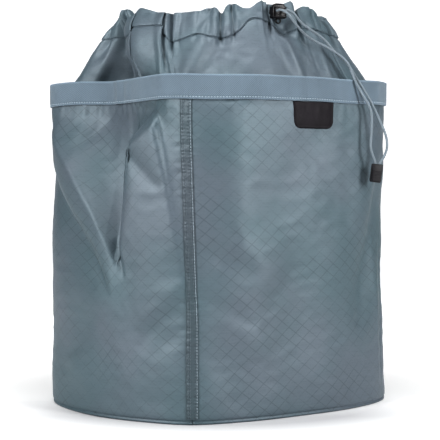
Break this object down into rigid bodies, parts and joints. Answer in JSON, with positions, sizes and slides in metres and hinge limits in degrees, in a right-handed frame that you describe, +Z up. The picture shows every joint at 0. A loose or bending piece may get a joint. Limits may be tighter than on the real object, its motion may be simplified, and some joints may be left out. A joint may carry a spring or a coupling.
{
  "type": "laundry bag",
  "caption": "Free-standing fabric laundry bag with a webbing rim, a gathered collar closed by a drawcord and spring cord lock, and a flat oval base.",
  "frame": {"origin": "middle of the base, on the surface that the bag stands on", "axes": "+Z up, -Y the front with the seam strip, +X to the right seen from the front"},
  "size_m": [0.3667, 0.2689, 0.4235],
  "materials": {
    "ripstop": "matte",
    "base_fabric": "matte",
    "binding": "matte",
    "seam_strip": "matte",
    "webbing": "matte",
    "collar_fabric": "matte",
    "eyelet_metal": "satin",
    "drawcord": "matte",
    "cord_end_plastic": "matte",
    "lock_plastic": "satin",
    "spring_steel": "satin",
    "patch": "satin"
  },
  "bodies": {
    "bag": {"body_panel_left": "ripstop", "body_panel_right": "ripstop", "base_panel": "base_fabric", "base_seam_binding": "binding", "front_seam_strip": "seam_strip", "rear_seam_strip": "seam_strip", "rim_webbing": "webbing", "rim_inner_tape": "binding", "collar_front_panel": "collar_fabric", "collar_back_panel": "collar_fabric", "collar_seam_tape_left": "binding", "collar_seam_tape_right": "binding", "channel_facing_front": "collar_fabric", "channel_facing_back": "collar_fabric", "eyelet_left": "eyelet_metal", "eyelet_right": "eyelet_metal", "eyelet_washer_left": "eyelet_metal", "eyelet_washer_right": "eyelet_metal", "drawcord_loop": "drawcord", "drawcord_tail_left": "drawcord", "drawcord_tail_right": "drawcord", "cord_end_front_shell": "cord_end_plastic", "cord_end_back_shell": "cord_end_plastic", "blank_patch": "patch"},
    "lock": {"lock_body": "lock_plastic", "lock_spring": "spring_steel"},
    "plunger": {"lock_plunger": "lock_plastic"}
  },
  "joints": [
    {"name": "cord_lock_slide", "type": "slide", "parent": "bag", "child": "lock", "axis": [0.3734, -0.9277, 0], "range_m": [0, 0.006]},
    {"name": "lock_button_press", "type": "slide", "parent": "lock", "child": "plunger", "axis": [0, 0, -1], "range_m": [0, 0.003], "stiffness_N_per_m": 400, "springref_m": -0.005, "deforming": ["lock_spring"]}
  ]
}
